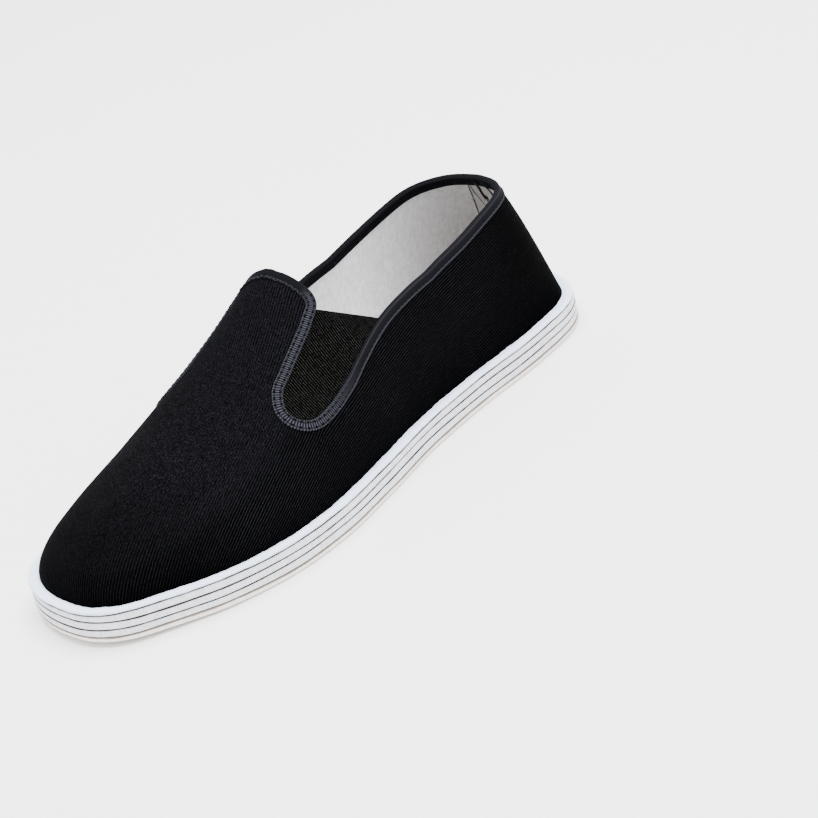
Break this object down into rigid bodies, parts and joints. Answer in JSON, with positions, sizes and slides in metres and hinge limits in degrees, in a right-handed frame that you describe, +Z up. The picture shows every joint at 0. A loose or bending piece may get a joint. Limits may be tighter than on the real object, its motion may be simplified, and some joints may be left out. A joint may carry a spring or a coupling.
{
  "type": "chinese cloth shoe",
  "caption": "Black cloth slip-on shoe for the left foot, with elastic slots beside the tongue and a flat white layered cloth sole.",
  "frame": {"origin": "on the floor, under the middle of the sole's length and width", "axes": "+X from heel to toe, +Y to the wearer's left, the outer side of this left shoe, +Z up"},
  "size_m": [0.275, 0.1043, 0.0861],
  "materials": {
    "black_twill": "matte black cotton twill",
    "black_tape": "matte black ribbed woven tape",
    "black_elastic": "black ribbed elastic",
    "white_cloth": "matte white cotton cloth wrapped round the sole's layers",
    "white_tape": "bluish white ribbed tape",
    "cream_cloth": "cream cotton cloth with rows of running stitches",
    "grey_cotton": "light grey cotton"
  },
  "bodies": {
    "root": {"outsole": "cream_cloth", "sole_layer_1": "white_cloth", "sole_layer_2": "white_cloth", "sole_layer_3": "white_cloth", "welt": "white_tape", "insole": "grey_cotton", "upper": "black_twill", "binding": "black_tape", "gusset_outer": "black_elastic", "gusset_inner": "black_elastic"}
  },
  "joints": []
}
